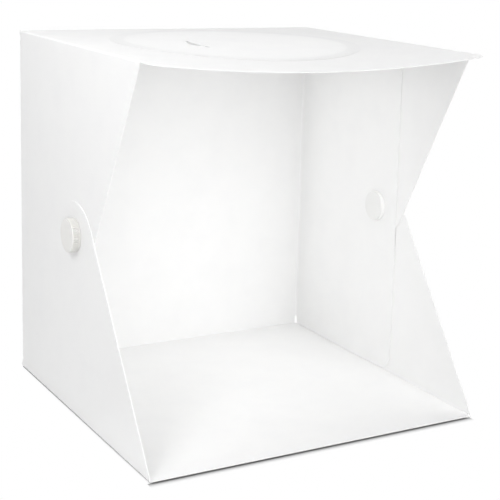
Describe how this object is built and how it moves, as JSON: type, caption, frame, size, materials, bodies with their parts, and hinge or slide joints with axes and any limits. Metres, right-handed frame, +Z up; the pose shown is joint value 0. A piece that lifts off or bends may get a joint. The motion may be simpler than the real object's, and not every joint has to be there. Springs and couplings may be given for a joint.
{
  "type": "light tent",
  "caption": "Fold-flat tabletop light tent of creased translucent sheet, open at the front, with a round overhead hatch under a lift-off cover and round magnet buttons at the sides.",
  "frame": {"origin": "on the table, under the middle of the tent's bounding box", "axes": "+Z up, the open front faces -Y and the back panel stands at +Y, +X to the right as seen from the front"},
  "size_m": [0.3916, 0.364, 0.3857],
  "materials": {
    "sheet": "satin translucent white polypropylene sheet with a fine matte texture",
    "crease": "the same sheet pressed thin along the fold, slightly clearer and smoother",
    "button": "moulded opaque white plastic with a soft shine, faintly warm next to the sheet",
    "magnet": "bright nickel plating"
  },
  "bodies": {
    "base": {"floor_panel": "sheet", "floor_back_crease": "crease", "left_lower_crease": "crease", "right_lower_crease": "crease"},
    "back": {"back_panel": "sheet", "back_top_crease": "crease", "left_wing_crease": "crease", "right_wing_crease": "crease"},
    "top": {"top_panel": "sheet", "left_upper_crease": "crease", "right_upper_crease": "crease"},
    "hatch": {"hatch_cover": "sheet"},
    "left_wing_body": {"left_wing": "sheet", "left_inner_disc": "button", "left_disc_magnet": "magnet"},
    "right_wing_body": {"right_wing": "sheet", "right_inner_disc": "button", "right_disc_magnet": "magnet"},
    "left_upper_body": {"left_upper_flap": "sheet"},
    "right_upper_body": {"right_upper_flap": "sheet"},
    "left_lower_body": {"left_lower_flap": "sheet", "left_button_cap": "button", "left_cap_magnet": "magnet"},
    "right_lower_body": {"right_lower_flap": "sheet", "right_button_cap": "button", "right_cap_magnet": "magnet"}
  },
  "joints": [
    {"name": "back_fold", "type": "hinge", "parent": "base", "child": "back", "pos_m": [0, 0.1815, 0.0005], "axis": [-1, 0, 0], "range_deg": [0, 90]},
    {"name": "top_fold", "type": "hinge", "parent": "back", "child": "top", "pos_m": [0, 0.1815, 0.3845], "axis": [-1, 0, 0], "range_deg": [0, 87]},
    {"name": "hatch_lift", "type": "slide", "parent": "top", "child": "hatch", "axis": [0, 0, 1], "range_m": [0, 0.08]},
    {"name": "left_wing_fold", "type": "hinge", "parent": "back", "child": "left_wing_body", "pos_m": [-0.1839, 0.1802, 0.195], "axis": [0, 0, 1], "range_deg": [0, 82]},
    {"name": "right_wing_fold", "type": "hinge", "parent": "back", "child": "right_wing_body", "pos_m": [0.1839, 0.1802, 0.195], "axis": [0, 0, -1], "range_deg": [0, 87]},
    {"name": "left_lower_fold", "type": "hinge", "parent": "base", "child": "left_lower_body", "pos_m": [-0.1865, 0, 0.0005], "axis": [0, -1, 0], "range_deg": [0, 86]},
    {"name": "right_lower_fold", "type": "hinge", "parent": "base", "child": "right_lower_body", "pos_m": [0.1865, 0, 0.0005], "axis": [0, 1, 0], "range_deg": [0, 86]},
    {"name": "left_upper_fold", "type": "hinge", "parent": "top", "child": "left_upper_body", "pos_m": [-0.1852, 0, 0.3845], "axis": [0, 1, 0], "range_deg": [0, 58]},
    {"name": "right_upper_fold", "type": "hinge", "parent": "top", "child": "right_upper_body", "pos_m": [0.1852, 0, 0.3845], "axis": [0, -1, 0], "range_deg": [0, 58]}
  ],
  "couplings": [
    {"joint": "left_upper_fold", "follows": "left_lower_fold", "ratio": 0.6667},
    {"joint": "right_upper_fold", "follows": "right_lower_fold", "ratio": 0.6667}
  ]
}
